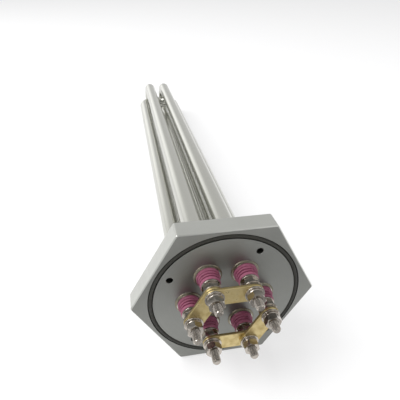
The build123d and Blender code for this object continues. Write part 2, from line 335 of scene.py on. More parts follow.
def vary(tree, shader, tone, roughness=None, relief=None):
    """Lets patterns vary a surface.

    Tone is a pattern and the two colours that it mixes. Roughness is a pattern, the roughness at the low and at
    the high end of its span, and that span where it isn't one noise's. Relief is a pattern and its depth in mm.
    """
    pattern, first, second = tone
    mixed = {"Factor": pattern, MIX_FIRST: (*first, 1.0), MIX_SECOND: (*second, 1.0)}
    tree.links.new(
        add_node(tree, "ShaderNodeMix", mixed, MIX_RESULT, data_type="RGBA"), shader.inputs["Base Color"]
    )
    if roughness:
        pattern, low, high, *span = roughness
        shader.inputs["Roughness"].default_value = (low + high) / 2
        values = (pattern, *(span or NOISE_SPAN), low, high)
        tree.links.new(add_node(tree, "ShaderNodeMapRange", values), shader.inputs["Roughness"])
    if relief:
        pattern, depth_mm = relief
        bumps = {"Height": pattern, "Distance": depth_mm * MM, "Strength": 1.0}
        tree.links.new(add_node(tree, "ShaderNodeBump", bumps), shader.inputs["Normal"])


def faced_stainless(colours):
    """Stainless steel faced on a lathe: faint rings round the axis, with a soft uneven sheen. Its colour is set darker
    than the flats' partly as painted shade.
    """
    steel = colours.faced
    tree, shader = new_material("faced_stainless", steel, 1.0)
    place = add_node(tree, "ShaderNodeTexCoord", out="Object")
    across = add_node(tree, "ShaderNodeVectorMath", (place, (1.0, 0.0, 1.0)), operation="MULTIPLY")
    radius = add_node(tree, "ShaderNodeVectorMath", (across,), "Value", operation="LENGTH")
    # Tool feed of about 0.2 mm, drawn as 0.5 mm so that it shows
    feed_mm = 0.5
    inputs = {"W": radius, "Scale": 1 / (feed_mm * MM), "Detail": 2.0, "Roughness": 0.6}
    rings = add_node(tree, "ShaderNodeTexNoise", inputs, noise_dimensions="1D")
    smudge = grain(tree, 16.0, detail=2.0)
    vary(tree, shader, (smudge, shaded(steel, 0.92), shaded(steel, 1.08)), (rings, 0.37, 0.47), (rings, 0.012))


def drawn_stainless(colours):
    """Cold-drawn hexagonal bar: fine lines along the bar and a brighter satin than the faced end."""
    steel = colours.flats
    tree, shader = new_material("drawn_stainless", steel, 1.0)
    # Drawing lines are hair-thin, drawn 0.35 mm wide so that they show
    lines = grain(tree, 0.35, stretch=(1.0, 30.0, 1.0))
    patches = grain(tree, 9.0, detail=2.0)
    vary(tree, shader, (patches, shaded(steel, 0.93), shaded(steel, 1.04)), (lines, 0.30, 0.42), (lines, 0.008))


def cut_thread(colours):
    """Single-point cut pipe thread: bright flanks with fine chatter, and a thin film of cutting oil."""
    steel = colours.thread
    tree, shader = new_material("cut_thread_stainless", steel, 1.0)
    chatter = grain(tree, 0.4, stretch=(1.0, 0.5, 1.0))
    film = grain(tree, 6.0)
    vary(tree, shader, (film, shaded(steel, 0.8), steel), (chatter, 0.24, 0.4), (chatter, 0.01))


def fused_weld(colours):
    """Bare fusion weld, left as welded: grey heat scale with straw-tinted spots and a fine frosted skin."""
    tree, shader = new_material("fused_weld", colours.weld, 1.0)
    frost = grain(tree, 0.3)
    tint = grain(tree, 2.5, detail=1.0)
    vary(tree, shader, (tint, colours.weld_straw, colours.weld), (frost, 0.26, 0.46), (frost, 0.02))


def drawn_tube(colours):
    """Bright-annealed drawn tube: satin, with lengthwise polishing lines and faint cloudy patches."""
    steel = colours.tube
    tree, shader = new_material("drawn_tube_stainless", steel, 1.0)
    # Place on the straightened tube, so that the lines follow it round the bend
    place = add_node(tree, "ShaderNodeAttribute", out="Vector", attribute_name="tube_place")
    lines = grain(tree, 0.3, stretch=(1.0, 1.0, 300.0), detail=1.0, place=place)
    clouds = grain(tree, 9.0, stretch=(1.0, 1.0, 6.0), detail=1.0, place=place)
    both = add_node(tree, "ShaderNodeMath", (lines, clouds), operation="ADD")
    tone = (clouds, shaded(steel, 0.97), shaded(steel, 1.02))
    vary(tree, shader, tone, (both, 0.19, 0.25, 0.7, 1.3), (lines, 0.001))


def nickel_plate(colours):
    """Nickel-plated steel: warm, half-bright, with handling marks and slightly duller patches."""
    nickel = colours.nickel
    tree, shader = new_material("nickel_plated_steel", nickel, 1.0)
    marks = grain(tree, 0.25, detail=4.0)
    patches = grain(tree, 2.2, detail=2.0)
    vary(tree, shader, (patches, shaded(nickel, 0.82), nickel), (patches, 0.23, 0.13), (marks, 0.004))


def plated_thread(colours):
    """Rolled thread under thin nickel: bright crests, and roots darkened as painted shade."""
    nickel = colours.stud
    tree, shader = new_material("nickel_plated_thread", nickel, 1.0)
    marks = grain(tree, 0.25, detail=4.0)
    root = add_node(tree, "ShaderNodeAttribute", out="Fac", attribute_name="thread_root")
    # Painted shade: the thread is darkened towards its roots
    root_shade = add_node(tree, "ShaderNodeMapRange", (root, 0.25, 0.9, 0.0, 0.85))
    vary(tree, shader, (root_shade, nickel, shaded(nickel, 0.2)), (marks, 0.18, 0.3), (marks, 0.004))


def rolled_brass(colours):
    """Rolled brass strip: pale yellow, faint rolling lines, and dull brown spots where it was handled."""
    tree, shader = new_material("rolled_brass", colours.brass, 1.0)
    rolling = grain(tree, 0.3, stretch=(12.0, 1.0, 12.0))
    tarnish = grain(tree, 3.5, detail=4.0, rough=0.6)
    worn = add_node(tree, "ShaderNodeMapRange", (tarnish, 0.42, 0.68, 0.0, 1.0))
    vary(tree, shader, (worn, colours.brass, colours.brass_dull), (tarnish, 0.26, 0.42), (rolling, 0.008))


def fired_ceramic(colours):
    """Unglazed fired alumina, tinted mauve-pink: matte and faintly grainy, with pale speckle."""
    tree, shader = new_material("fired_ceramic", colours.ceramic, 0.0, IOR=1.6, Specular_IOR_Level=0.4)
    # Press grain of about 0.1 mm, drawn as 0.3 mm so that it shows
    pores = grain(tree, 0.3, detail=4.0)
    speckle = grain(tree, 1.4)
    pale = add_node(tree, "ShaderNodeMapRange", (speckle, 0.45, 0.75, 0.0, 0.7))
    vary(tree, shader, (pale, colours.ceramic, colours.ceramic_pale), (pores, 0.52, 0.72), (pores, 0.02))


def seal_rubber(colours):
    """Moulded nitrile rubber: near black, matte, with a fine bloom."""
    rubber = colours.rubber
    tree, shader = new_material("moulded_rubber", rubber, 0.0, IOR=1.52)
    bloom = grain(tree, 1.8, detail=4.0)
    skin = grain(tree, 0.2)
    vary(tree, shader, (bloom, shaded(rubber, 0.7), shaded(rubber, 1.7)), (bloom, 0.5, 0.72), (skin, 0.01))


def pressed_magnesia(colours):
    """Magnesia powder pressed hard: off-white, dead matte and sandy."""
    powder = colours.magnesia
    tree, shader = new_material("pressed_magnesia", powder, 0.0, Roughness=0.9, IOR=1.5)
    sand = grain(tree, 0.25, detail=5.0)
    vary(tree, shader, (sand, shaded(powder, 0.82), powder), relief=(sand, 0.05))


def heating_wire(colours):
    """Close-wound nickel-chromium wire: dull grey-brown, with bands across the winding whose darker halves are painted
    shade between the turns.
    """
    tree, shader = new_material("wound_resistance_wire", colours.wire, 1.0, Roughness=0.45)
    place = add_node(tree, "ShaderNodeTexCoord", out="Object")
    # Turns of about 0.9 mm, drawn 2 pi times as wide so that they show. A Wave texture's bands are
    # 2 pi / 20 wide at a scale of 1.
    turn_mm = 2 * math.pi * 0.9
    scale = 2 * math.pi / (20 * turn_mm * MM)
    turns = add_node(tree, "ShaderNodeTexWave", {"Vector": place, "Scale": scale}, "Fac", bands_direction="Y")
    # Painted shade: the bands darken to half the wire's colour between the turns
    vary(tree, shader, (turns, shaded(colours.wire, 0.5), colours.wire), relief=(turns, 0.3))


def floor_card(colours):
    """Matte white card under the object. It shows a share of its own white, so it stays white to the eye.

    A dark band with soft edges, painted shade that only the metal's reflections show, lies across the card in front of
    the head.
    """
    stage = bpy.context.scene.heater_stage
    tree, shader = new_material("matte_white_card", colours.floor, 0.0, Roughness=0.95, Specular_IOR_Level=0.0)
    vary(tree, shader, (grain(tree, 4.0), shaded(colours.floor, 0.99), colours.floor))
    camera, glossy, through = (
        add_node(tree, "ShaderNodeLightPath", out=f"Is {kind} Ray") for kind in ("Camera", "Glossy", "Transmission")
    )
    mirror = add_node(tree, "ShaderNodeMath", (glossy, through), operation="MAXIMUM")
    seen = add_node(tree, "ShaderNodeMath", (camera, mirror), operation="MAXIMUM")
    share = add_node(tree, "ShaderNodeMath", (seen, stage.floor_white), operation="MULTIPLY")
    white = add_node(tree, "ShaderNodeEmission", {"Color": (1.0, 1.0, 1.0, 1.0), "Strength": 1.0})
    card = add_node(tree, "ShaderNodeMixShader", (share, shader.outputs["BSDF"], white))
    place = add_node(tree, "ShaderNodeTexCoord", out="Object")
    ahead = add_node(tree, "ShaderNodeSeparateXYZ", (place,), "Y")
    # Painted shade: the cloth band darkens the floor only where the metal mirrors it
    start, end, fade = stage.reflection_shade_start, stage.reflection_shade_end, stage.reflection_shade_fade
    near_edge = add_node(tree, "ShaderNodeMapRange", (ahead, -start - fade, -start, 1.0, 0.0))
    far_edge = add_node(tree, "ShaderNodeMapRange", (ahead, -end, fade - end, 0.0, stage.reflection_shade_darkness))
    reflection_shade = add_node(tree, "ShaderNodeMath", (near_edge, far_edge), operation="MULTIPLY")
    mirrored = add_node(tree, "ShaderNodeMath", (reflection_shade, glossy), operation="MULTIPLY")
    black = add_node(tree, "ShaderNodeEmission", {"Strength": 0.0})
    reflection_shaded = add_node(tree, "ShaderNodeMixShader", (mirrored, card, black))
    tree.links.new(reflection_shaded, tree.nodes["Material Output"].inputs["Surface"])


FINISHES = {
    "faced_stainless": faced_stainless,
    "drawn_stainless": drawn_stainless,
    "cut_thread_stainless": cut_thread,
    "fused_weld": fused_weld,
    "drawn_tube_stainless": drawn_tube,
    "nickel_plated_steel": nickel_plate,
    "nickel_plated_thread": plated_thread,
    "rolled_brass": rolled_brass,
    "fired_ceramic": fired_ceramic,
    "moulded_rubber": seal_rubber,
    "pressed_magnesia": pressed_magnesia,
    "wound_resistance_wire": heating_wire,
    "matte_white_card": floor_card,
}


def finish_named(name):
    """The material of that name, made on first use."""
    if name not in bpy.data.materials:
        FINISHES[name](bpy.context.scene.heater_colours)
    return bpy.data.materials[name]


# Modelling. Most pieces are made standing on the bench: Z is their axis and points to the terminals.

def deselect():
    bpy.ops.object.select_all(action="DESELECT")


def edit(piece):
    bpy.context.view_layer.objects.active = piece
    bpy.ops.object.mode_set(mode="EDIT")
    bpy.ops.mesh.select_mode(type="VERT")


def leave_edit():
    bpy.ops.object.mode_set(mode="OBJECT")


def settled():
    """The piece just added, with its place, turn and size taken into its mesh."""
    bpy.ops.object.transform_apply(location=True, rotation=True, scale=True)
    return bpy.context.object


def discard(piece):
    """Throws a piece away with its mesh."""
    mesh = piece.data
    bpy.data.objects.remove(piece)
    bpy.data.meshes.remove(mesh)


def pick_edges(piece, wanted):
    """Selects, in edit mode, the edges whose rise from end to end passes the test."""
    bpy.ops.mesh.select_all(action="DESELECT")
    bpy.ops.mesh.select_mode(type="EDGE")
    mesh = bmesh.from_edit_mesh(piece.data)
    for edge in mesh.edges:
        edge.select_set(wanted(abs(edge.verts[0].co.z - edge.verts[1].co.z)))
    mesh.select_flush_mode()
    bmesh.update_edit_mesh(piece.data)


def tidy_mesh(piece):
    """Merges doubled points and turns every face outwards."""
    edit(piece)
    bpy.ops.mesh.select_all(action="SELECT")
    bpy.ops.mesh.remove_doubles(threshold=0.001 * MM)
    bpy.ops.mesh.normals_make_consistent(inside=False)
    leave_edit()


def apply_modifier(piece, kind, **settings):
    """Adds one modifier and applies it."""
    bpy.context.view_layer.objects.active = piece
    modifier = piece.modifiers.new(kind.lower(), kind)
    for name, value in settings.items():
        setattr(modifier, name, value)
    bpy.ops.object.modifier_apply(modifier=modifier.name)


def carve(piece, tool, operation="DIFFERENCE"):
    """Cuts, joins or keeps what is common with a tool piece, which is then thrown away."""
    apply_modifier(piece, "BOOLEAN", object=tool, operation=operation, solver="EXACT")
    discard(tool)


def break_edges(piece, width, segments=2, angle=30.0):
    """Rounds every edge sharper than the angle, in degrees."""
    sharp = math.radians(angle)
    apply_modifier(
        piece, "BEVEL", width=width, segments=segments, limit_method="ANGLE", angle_limit=sharp, use_clamp_overlap=True
    )


def smooth(piece, angle=32.0):
    """Shades edges blunter than the angle as round, and keeps flat faces flat up to their broken edges."""
    deselect()
    piece.select_set(True)
    bpy.context.view_layer.objects.active = piece
    bpy.ops.object.shade_smooth_by_angle(angle=math.radians(angle))
    apply_modifier(piece, "WEIGHTED_NORMAL", keep_sharp=True)


def turned(profile, sides=FASTENER_SIDES, ring=False):
    """A piece turned round Z. A circle is extruded from point to point of the profile of (radius, height).

    A ring's profile closes on itself; any other piece is capped at both ends.
    """
    deselect()
    radius, height = profile[0]
    fill = "NOTHING" if ring else "NGON"
    bpy.ops.mesh.primitive_circle_add(vertices=sides, radius=radius, fill_type=fill)
    piece = bpy.context.object
    edit(piece)
    bpy.ops.transform.translate(value=(0, 0, height))
    corners = profile[1:] + profile[:1] if ring else profile[1:]
    for next_radius, next_height in corners:
        bpy.ops.mesh.extrude_region_move(TRANSFORM_OT_translate={"value": (0, 0, next_height - height)})
        grow = next_radius / radius
        bpy.ops.transform.resize(value=(grow, grow, 1), center_override=(0, 0, 0))
        radius, height = next_radius, next_height
    leave_edit()
    tidy_mesh(piece)
    return piece


def rod(radius, low, high, place, sides=TUBE_SIDES):
    """A plain round bar, used as a cutting tool."""
    deselect()
    bpy.ops.mesh.primitive_cylinder_add(
        vertices=sides, radius=radius, depth=high - low, location=(*place, (low + high) / 2)
    )
    return settled()


def hexagon(across_flats, height):
    """A six-sided bar with its foot on the bench."""
    deselect()
    bpy.ops.mesh.primitive_cylinder_add(
        vertices=6,
        radius=across_flats / math.sqrt(3),
        depth=height,
        location=(0, 0, height / 2),
        rotation=(0, 0, math.radians(30)),
    )
    return settled()


def joined(pieces):
    """Joins pieces to one."""
    deselect()
    for piece in pieces:
        piece.select_set(True)
    bpy.context.view_layer.objects.active = pieces[0]
    bpy.ops.object.join()
    return pieces[0]


def leg_rods(radius, low, high):
    """Tool that bores all six legs' holes at once."""
    return joined([rod(radius, low, high, leg_place(leg)) for leg in LEGS])


def threaded_rod(crest, depth, pitch, low, high, steps, allowed):
    """A closed threaded bar round Z, from low to high.

    One pitch of the profile is swept up a helix, cut square at both ends, and held within allowed(height).
    """
    deselect()
    # One tooth as shares of the pitch and of the depth, with rounded root and crest
    tooth = ((0.0, 0.0), (0.07, 0.05), (0.43, 0.93), (0.5, 1.0), (0.57, 0.93), (0.93, 0.05), (1.0, 0.0))
    # The helix starts this many pitches below the bar and ends as far past it, so that both cuts are whole
    spare = 2
    bpy.ops.mesh.primitive_plane_add(size=pitch)
    bar = bpy.context.object
    edit(bar)
    bpy.ops.mesh.merge(type="CENTER")
    bpy.ops.transform.translate(value=(crest - depth, 0, low - spare * pitch))
    for (share, rise), (next_share, next_rise) in zip(tooth, tooth[1:]):
        step = ((next_rise - rise) * depth, 0, (next_share - share) * pitch)
        bpy.ops.mesh.extrude_region_move(TRANSFORM_OT_translate={"value": step})
    leave_edit()
    turns = math.ceil((high - low) / pitch) + spare + 1
    apply_modifier(
        bar,
        "SCREW",
        axis="Z",
        angle=2 * math.pi,
        screw_offset=pitch,
        iterations=turns,
        steps=steps,
        render_steps=steps,
    )
    edit(bar)
    bpy.ops.mesh.select_all(action="SELECT")
    bpy.ops.mesh.remove_doubles(threshold=0.002 * MM)
    for cut, side in ((low, "clear_inner"), (high, "clear_outer")):
        bpy.ops.mesh.select_all(action="SELECT")
        bpy.ops.mesh.bisect(
            plane_co=(0, 0, cut), plane_no=(0, 0, 1), use_fill=True, threshold=0.0001 * MM, **{side: True}
        )
    leave_edit()
    for vertex in bar.data.vertices:
        radius = math.hypot(vertex.co.x, vertex.co.y)
        limit = allowed(vertex.co.z)
        if radius > limit:
            vertex.co.x *= limit / radius
            vertex.co.y *= limit / radius
    tidy_mesh(bar)
    return bar


def standing_to_frame(x, y, z, turn=0.0):
    """From the bench to the frame: the piece's foot goes to (x, y, z) and its axis to -Y.

    Turn is in degrees about the frame's +Y, as the frame's nuts are turned.
    """
    return (
        Matrix.Translation((x, y, z))
        @ Matrix.Rotation(math.radians(90), 4, "X")
        @ Matrix.Rotation(math.radians(-turn), 4, "Z")
    )


def hand_over(piece, name, finish, node):
    """Names a finished piece, gives it its finish unless it has its own, and puts it in its CAD node's place."""
    piece.name = name
    piece.data.name = name
    if finish:
        piece.data.materials.clear()
        piece.data.materials.append(finish_named(finish))
    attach(piece, "root")
    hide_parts(node)


def stand_on_legs(master, name, finish, slot, node, foot, turn=lambda leg: 0.0, legs=LEGS):
    """Puts a copy of a master, with its own mesh, on each leg, and throws the master away.

    Foot and turn give a leg's copy the y of its foot and its turn in degrees. The node's name may hold {leg}.
    """
    for leg in legs:
        x, z = leg_place(leg)
        mesh = master.data.copy()
        mesh.transform(standing_to_frame(x, foot(leg), z, turn(leg)))
        piece = bpy.data.objects.new(name, mesh)
        bpy.context.scene.collection.objects.link(piece)
        hand_over(piece, f"{name}_{leg}", finish, node.format(leg=leg))
    discard(master)


class HeaterOperator:
    """What the operators share: undo, and the sizes that the sidebar shows."""

    bl_options = {"REGISTER", "UNDO"}
    plug = property(lambda self: bpy.context.scene.heater_plug)
    element = property(lambda self: bpy.context.scene.heater_elements)
    terminal = property(lambda self: bpy.context.scene.heater_terminals)


class HEATER_OT_plug_head(HeaterOperator, bpy.types.Operator):
    """Models the hexagonal head with its seal groove, bores, tapped holes and undercut"""

    bl_idname = "heater.plug_head"
    bl_label = "Plug Head"

    def execute(self, context):
        s = self.plug
        thickness = s.head_thickness
        overlap = 0.3 * MM
        top = thickness + overlap
        head = hexagon(s.across_flats, thickness)
        edit(head)
        pick_edges(head, lambda rise: rise > thickness / 2)
        bpy.ops.mesh.bevel(offset=s.corner_radius, segments=6, affect="EDGES")
        pick_edges(head, lambda rise: rise < thickness / 4)
        bpy.ops.mesh.bevel(offset=s.edge_chamfer, segments=1, affect="EDGES")
        leave_edit()
        carve(head, turned([(s.recess_radius, -overlap), (s.recess_radius, s.recess_depth)], HEAD_SIDES))
        neck = [(s.relief_radius, -s.relief_width), (s.relief_radius, s.recess_depth + overlap)]
        carve(head, turned(neck, HEAD_SIDES), "UNION")
        groove_floor = thickness - s.groove_depth
        groove_profile = [
            (s.groove_inner, groove_floor),
            (s.groove_outer, groove_floor),
            (s.groove_outer, top),
            (s.groove_inner, top),
        ]
        carve(head, turned(groove_profile, GROOVE_SIDES, ring=True))
        carve(head, leg_rods(s.tube_bore, -s.relief_width - overlap, top))
        self.tap_holes(head, thickness, overlap / 2)
        break_edges(head, s.edge_break)
        for name in ("faced_stainless", "drawn_stainless"):
            head.data.materials.append(finish_named(name))
        for face in head.data.polygons:
            faced = abs(face.normal.z) > 0.9 or face.center.xy.length < s.groove_outer + s.edge_break
            face.material_index = 0 if faced else 1
        smooth(head)
        head.data.transform(standing_to_frame(0, 0, 0))
        hand_over(head, "plug_head", None, "hex_plug")
        return {"FINISHED"}

    def tap_holes(self, head, face, beyond):
        """Bores the cover's four screw holes, a quarter turn apart."""
        s = self.plug
        tap_profile = [
            (s.hole_radius, face - s.hole_depth),
            (s.hole_radius, face - s.hole_countersink),
            (s.hole_radius + s.hole_countersink + beyond, face + beyond),
        ]
        for degrees in (60, 150, 240, 330):
            spot = math.radians(degrees)
            tap = turned(tap_profile, BORE_SIDES)
            tap.data.transform(
                Matrix.Translation((s.hole_circle * math.cos(spot), s.hole_circle * math.sin(spot), 0))
            )
            carve(head, tap)


class HEATER_OT_spigot_thread(HeaterOperator, bpy.types.Operator):
    """Models the pipe-threaded spigot behind the head, bored for the tubes"""

    bl_idname = "heater.spigot_thread"
    bl_label = "Spigot Thread"

    def execute(self, context):
        s = self.plug
        into_relief = 0.2 * MM
        low, high = -SPIGOT_END_Y, -s.relief_width + into_relief

        def allowed(height):
            at_end = s.spigot_radius - s.spigot_chamfer + (height - low)
            at_relief = s.relief_radius + max(0.0, high - height)
            return min(s.spigot_radius, at_end, at_relief)

        spigot = threaded_rod(s.spigot_radius, s.thread_depth, s.thread_pitch, low, high, HEAD_SIDES, allowed)
        carve(spigot, leg_rods(s.tube_bore, low - MM, high + MM))
        smooth(spigot, angle=25.0)
        spigot.data.transform(standing_to_frame(0, 0, 0))
        hand_over(spigot, "spigot_thread", "cut_thread_stainless", "hex_plug")
        return {"FINISHED"}


class HEATER_OT_weld_beads(HeaterOperator, bpy.types.Operator):
    """Models the rippled weld bead round each tube, on the front face"""

    bl_idname = "heater.weld_beads"
    bl_label = "Weld Beads"

    def execute(self, context):
        s = self.element
        inner, outer = s.tube_radius, s.tube_radius + s.bead_width
        sunk = -0.15 * MM
        arc_points = 7
        profile = [(inner, sunk), (outer, sunk)]
        for step in range(arc_points):
            angle = math.pi / 2 * step / (arc_points - 1)
            profile.append((inner + s.bead_width * math.cos(angle), s.bead_height * math.sin(angle)))
        bead = turned(profile, BEAD_SIDES, ring=True)
        ripples = round(2 * math.pi * outer / s.ripple_pitch)
        # Each ripple is a shallow scallop that trails towards the middle of the bead and fades at the tube.
        # The shares are of a turn of the ripple, of the bead's width, and of the ripple's depth.
        trail, fade, down, inwards = 0.35, 0.3, 0.8, 0.5
        for vertex in bead.data.vertices:
            if vertex.co.z <= sunk / 2:
                continue
            radius = math.hypot(vertex.co.x, vertex.co.y)
            angle = math.atan2(vertex.co.y, vertex.co.x)
            swept = angle * ripples / (2 * math.pi) + trail * (radius - inner) / s.bead_width
            dip = s.ripple_depth * (1 - abs(math.sin(math.pi * swept))) ** 2
            share = min(1.0, (radius - inner) / (fade * s.bead_width))
            vertex.co.z -= dip * share * down
            shrink = 1 - dip * share * inwards / radius
            vertex.co.x *= shrink
            vertex.co.y *= shrink
        smooth(bead, angle=50.0)
        stand_on_legs(
            bead,
            "weld_bead",
            "fused_weld",
            "machined_stainless",
            "hex_plug",
            lambda leg: -self.plug.head_thickness,
            lambda leg: BEAD_TURN * leg,
        )
        return {"FINISHED"}


class HEATER_OT_sheaths(HeaterOperator, bpy.types.Operator):
    """Models the three bent tubes, with their wall"""

    bl_idname = "heater.sheaths"
    bl_label = "Sheaths"

    def execute(self, context):
        for name, legs in HAIRPIN_LEGS.items():
            self.make_sheath(name, legs)
        return {"FINISHED"}

    def make_sheath(self, name, legs):
        s = self.element
        first, second = (Vector((x, 0, z)) for x, z in map(leg_place, legs))
        middle = (first + second) / 2
        out = (first - middle).normalized()
        span = (first - middle).length
        axis = Vector((0, 1, 0)).cross(out)
        far_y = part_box(f"sheath_{name}")[1].y
        bend_y = far_y - s.tube_radius - span
        run = bend_y - TUBE_MOUTH_Y
        deselect()
        bpy.ops.mesh.primitive_circle_add(
            vertices=TUBE_SIDES,
            radius=s.tube_radius,
            location=(first.x, TUBE_MOUTH_Y, first.z),
            rotation=(math.radians(90), 0, 0),
        )
        sheath = settled()
        edit(sheath)
        bpy.ops.mesh.extrude_region_move(TRANSFORM_OT_translate={"value": (0, run, 0)})
        bpy.ops.mesh.spin(
            steps=40, angle=math.pi, center=(middle.x, bend_y, middle.z), axis=axis, use_auto_merge=False
        )
        bpy.ops.mesh.extrude_region_move(TRANSFORM_OT_translate={"value": (0, -run, 0)})
        leave_edit()
        tidy_mesh(sheath)
        apply_modifier(sheath, "SOLIDIFY", thickness=s.tube_wall, offset=-1.0, use_even_offset=True)
        straightened = sheath.data.attributes.new("tube_place", "FLOAT_VECTOR", "POINT")
        for vertex in sheath.data.vertices:
            offset = vertex.co - middle
            along, across = self.unbend(offset, out, span, bend_y, run)
            straightened.data[vertex.index].vector = (across, offset.dot(axis), along)
        smooth(sheath, angle=40.0)
        hand_over(sheath, f"element_sheath_{name}", "drawn_tube_stainless", f"sheath_{name}")

    def unbend(self, offset, out, span, bend_y, run):
        """Distance along the straightened tube, and distance from its centre line in the hairpin's plane."""
        sideways = offset.dot(out)
        if offset.y > bend_y:
            angle = math.atan2(offset.y - bend_y, sideways)
            return run + angle * span, math.hypot(offset.y - bend_y, sideways) - span
        if sideways > 0:
            return offset.y - TUBE_MOUTH_Y, sideways - span
        return run + math.pi * span + bend_y - offset.y, -sideways - span


class HEATER_OT_bushes(HeaterOperator, bpy.types.Operator):
    """Models the ribbed ceramic bush in each tube mouth"""

    bl_idname = "heater.bushes"
    bl_label = "Ceramic Bushes"

    def execute(self, context):
        s = self.terminal
        bore = s.stud_radius + s.thread_fit
        height = TUBE_MOUTH_Y - BUSH_FRONT_Y
        waist = s.bush_radius - s.groove_depth
        profile = [
            (bore, -s.plug_depth),
            (s.plug_radius, -s.plug_depth),
            (s.plug_radius, 0.0),
            (s.collar_radius, 0.0),
            (s.collar_radius, s.collar_height),
            (s.bush_radius, s.collar_height),
        ]
        foot = s.collar_height + s.rib_width
        grooves = 2
        for _ in range(grooves):
            head = foot + s.groove_width
            profile += [(s.bush_radius, foot), (waist, foot), (waist, head), (s.bush_radius, head)]
            foot = head + s.rib_width
        profile += [
            (s.bush_radius, height - s.bush_edge),
            (s.bush_radius - s.bush_edge, height),
            (bore, height),
        ]
        bush = turned(profile, ring=True)
        break_edges(bush, s.bush_rounding, segments=3)
        smooth(bush, angle=35.0)
        stand_on_legs(
            bush,
            "ribbed_bush",
            "fired_ceramic",
            "pink_ceramic",
            "ceramic_bush_{leg}",
            lambda leg: TUBE_MOUTH_Y,
            lambda leg: BUSH_TURN * leg,
        )
        return {"FINISHED"}


class HEATER_OT_studs(HeaterOperator, bpy.types.Operator):
    """Models the six terminal studs, threaded in front of the bushes"""

    bl_idname = "heater.studs"
    bl_label = "Terminal Studs"

    def execute(self, context):
        s = self.terminal
        tip = TUBE_MOUTH_Y - STUD_LOW.y
        # The thread starts this far inside the bush, and never runs out to less than the core
        hidden_thread, runout_core = 1.2 * MM, 1.3 * MM
        thread_foot = TUBE_MOUTH_Y - BUSH_FRONT_Y - hidden_thread

        def allowed(height):
            runout = s.stud_radius - s.stud_thread_depth + (height - thread_foot)
            return min(s.stud_radius, s.stud_radius - s.stud_point + (tip - height), max(runout, runout_core))

        thread = threaded_rod(
            s.stud_radius, s.stud_thread_depth, s.stud_pitch, thread_foot, tip, STUD_SIDES, allowed
        )
        foot = TUBE_MOUTH_Y - STUD_HIGH.y
        shank_profile = [
            (s.stud_radius - s.stud_point / 2, foot),
            (s.stud_radius, foot + s.stud_point / 2),
            (s.stud_radius, thread_foot),
            (s.stud_radius - s.stud_thread_depth, thread_foot + s.stud_thread_depth),
        ]
        stud = joined([thread, turned(shank_profile, STUD_SIDES)])
        # How deep in the thread each point lies, from 0 at the crest to 1 at the root; the thread's finish darkens the
        # roots with it as painted shade
        roots = stud.data.attributes.new("thread_root", "FLOAT", "POINT")
        for vertex in stud.data.vertices:
            if vertex.co.z < tip - s.stud_point:
                sunk = (s.stud_radius - vertex.co.xy.length) / s.stud_thread_depth
                roots.data[vertex.index].value = min(1.0, max(0.0, sunk))
        smooth(stud, angle=28.0)
        stand_on_legs(
            stud,
            "threaded_stud",
            "nickel_plated_thread",
            "plated_steel",
            "terminal_stud_{leg}",
            lambda leg: TUBE_MOUTH_Y,
            lambda leg: STUD_TURN * leg,
        )
        return {"FINISHED"}


class HEATER_OT_nuts(HeaterOperator, bpy.types.Operator):
    """Models the base nuts and the top nuts"""

    bl_idname = "heater.nuts"
    bl_label = "Nuts"

    def execute(self, context):
        s = self.terminal
        base_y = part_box("base_nuts")[1].y
        above_link = s.washer_thickness + s.spring_thickness
        stand_on_legs(
            self.nut(), "base_nut", *PLATED, "base_nuts", lambda leg: base_y, lambda leg: BASE_NUT_TURNS[leg - 1]
        )
        stand_on_legs(
            self.nut(),
            "top_nut",
            *PLATED,
            "top_nuts",
            lambda leg: link_front(leg) - above_link,
            lambda leg: TOP_NUT_TURNS[leg - 1],
        )
        return {"FINISHED"}

    def nut(self):
        """One nut: a hexagon with turned crowns and a countersunk bore."""
        s = self.terminal
        flat = s.nut_flats / 2
        corner = s.nut_flats / math.sqrt(3)
        beyond = 0.1 * MM
        nut = hexagon(s.nut_flats, s.nut_height)
        slope = s.nut_crown / (corner - flat)
        crown_profile = [
            (flat - beyond, -beyond * slope),
            (corner + beyond, s.nut_crown + beyond * slope),
            (corner + beyond, s.nut_height - s.nut_crown - beyond * slope),
            (flat - beyond, s.nut_height + beyond * slope),
        ]
        carve(nut, turned(crown_profile, CROWN_SIDES), "INTERSECT")
        bore = s.stud_radius + s.thread_fit
        wide = bore + s.nut_countersink
        bore_profile = [
            (wide + beyond, -beyond),
            (bore, s.nut_countersink),
            (bore, s.nut_height - s.nut_countersink),
            (wide + beyond, s.nut_height + beyond),
        ]
        carve(nut, turned(bore_profile, BORE_SIDES))
        tidy_mesh(nut)
        break_edges(nut, s.nut_break, angle=20.0)
        tidy_mesh(nut)
        smooth(nut, angle=30.0)
        return nut


class HEATER_OT_washers(HeaterOperator, bpy.types.Operator):
    """Models the plain washers at three levels, and the two spacers under the upper links"""

    bl_idname = "heater.washers"
    bl_label = "Plain Washers"

    def execute(self, context):
        s = self.terminal
        base_y, link_y, spacer_y = (
            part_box(node)[1].y for node in ("base_washers", "link_washers", "link_spacers")
        )
        levels = {"base_washer": lambda leg: base_y, "link_washer": lambda leg: link_y, "upper_washer": link_front}
        for name, foot in levels.items():
            stand_on_legs(self.washer(s.washer_radius, s.washer_thickness), name, *PLATED, f"{name}s", foot)
        spacer = self.washer(s.spacer_radius, s.link_thickness)
        stand_on_legs(spacer, "link_spacer", *PLATED, "link_spacers", lambda leg: spacer_y, legs=SPACER_LEGS)
        return {"FINISHED"}

    def washer(self, radius, thickness):
        """One stamped ring with rounded edges."""
        bore = self.terminal.washer_bore
        ring = turned([(bore, 0.0), (radius, 0.0), (radius, thickness), (bore, thickness)], ring=True)
        break_edges(ring, self.terminal.washer_break, segments=3)
        smooth(ring, angle=35.0)
        return ring


